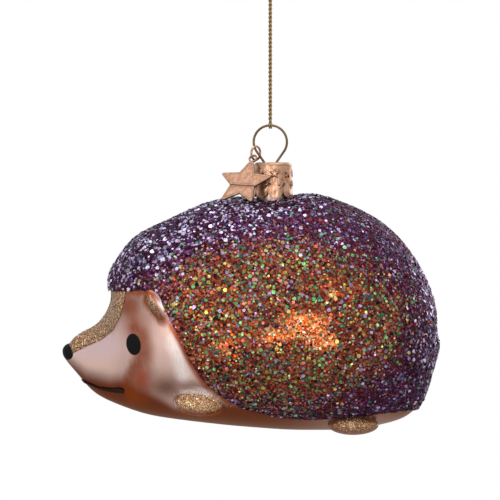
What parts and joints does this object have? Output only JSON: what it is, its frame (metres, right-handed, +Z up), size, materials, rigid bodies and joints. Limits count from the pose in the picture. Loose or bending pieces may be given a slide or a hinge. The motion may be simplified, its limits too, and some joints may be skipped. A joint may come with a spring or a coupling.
{
  "type": "hanging hedgehog ornament",
  "caption": "Blown-glass hedgehog ornament with a glitter coat, stamped cap, sprung wire hanger, star charm and gold thread.",
  "frame": {"origin": "inner top of the eye of the hanging thread, where a hook or twig carries it", "axes": "+Z up, along the taut thread; -X towards the hedgehog's nose; -Y towards its left side"},
  "size_m": [0.0944, 0.0522, 0.1203],
  "materials": {
    "pearl_lacquer": "silvered inside, pearly beige and copper lacquer outside",
    "spine_glitter": "coarse mixed glitter in copper and purple glue",
    "gold_glitter": "fine gold glitter in clear glue",
    "black_enamel": "raised gloss enamel",
    "brown_enamel": "raised gloss enamel",
    "rose_gold": "rose gold plating",
    "antique_brass": "plated spring wire",
    "gold_thread": "metallic thread, two strands twisted"
  },
  "bodies": {
    "hanging_eye": {"thread_loop": "gold_thread", "thread_knot": "gold_thread"},
    "thread": {"thread_cord": "gold_thread"},
    "hitch": {"thread_hitch": "gold_thread"},
    "cap_unit": {"cap": "rose_gold", "hanger_wire": "antique_brass"},
    "jump_link": {"jump_ring": "rose_gold"},
    "charm": {"star_charm": "rose_gold"},
    "hedgehog": {"glass_body": "pearl_lacquer", "glitter_mantle": "spine_glitter", "forehead_glitter": "gold_glitter", "nose_enamel": "black_enamel", "mouth_line": "brown_enamel", "eye_left": "black_enamel", "eye_right": "black_enamel", "ear_glitter_left": "gold_glitter", "ear_glitter_right": "gold_glitter", "front_paw_glitter_left": "gold_glitter", "front_paw_glitter_right": "gold_glitter", "rear_paw_glitter_left": "gold_glitter", "rear_paw_glitter_right": "gold_glitter"}
  },
  "joints": [
    {"name": "thread_twist", "type": "hinge", "parent": "hanging_eye", "child": "thread", "pos_m": [0, 0, -0.0101], "axis": [0, 0, 1], "range_deg": [-180, 180]},
    {"name": "hitch_roll", "type": "hinge", "parent": "thread", "child": "hitch", "pos_m": [0, 0, -0.04285], "axis": [1, 0, 0], "range_deg": [-75, 75]},
    {"name": "ring_slide", "type": "hinge", "parent": "hitch", "child": "cap_unit", "pos_m": [0, 0, -0.047], "axis": [0, 1, 0], "range_deg": [-60, 60]},
    {"name": "cap_pull", "type": "slide", "parent": "cap_unit", "child": "hedgehog", "axis": [0, 0, -1], "range_m": [0, 0.014]},
    {"name": "jump_ring_swing", "type": "hinge", "parent": "cap_unit", "child": "jump_link", "pos_m": [-0.00328, 0, -0.04955], "axis": [0.5717, 0, -0.8205], "range_deg": [-30, 0]},
    {"name": "star_swing", "type": "hinge", "parent": "jump_link", "child": "charm", "pos_m": [-0.0043, -0.00118, -0.05117], "axis": [0.5164, 0.6351, -0.5745], "range_deg": [-15, 0]}
  ]
}
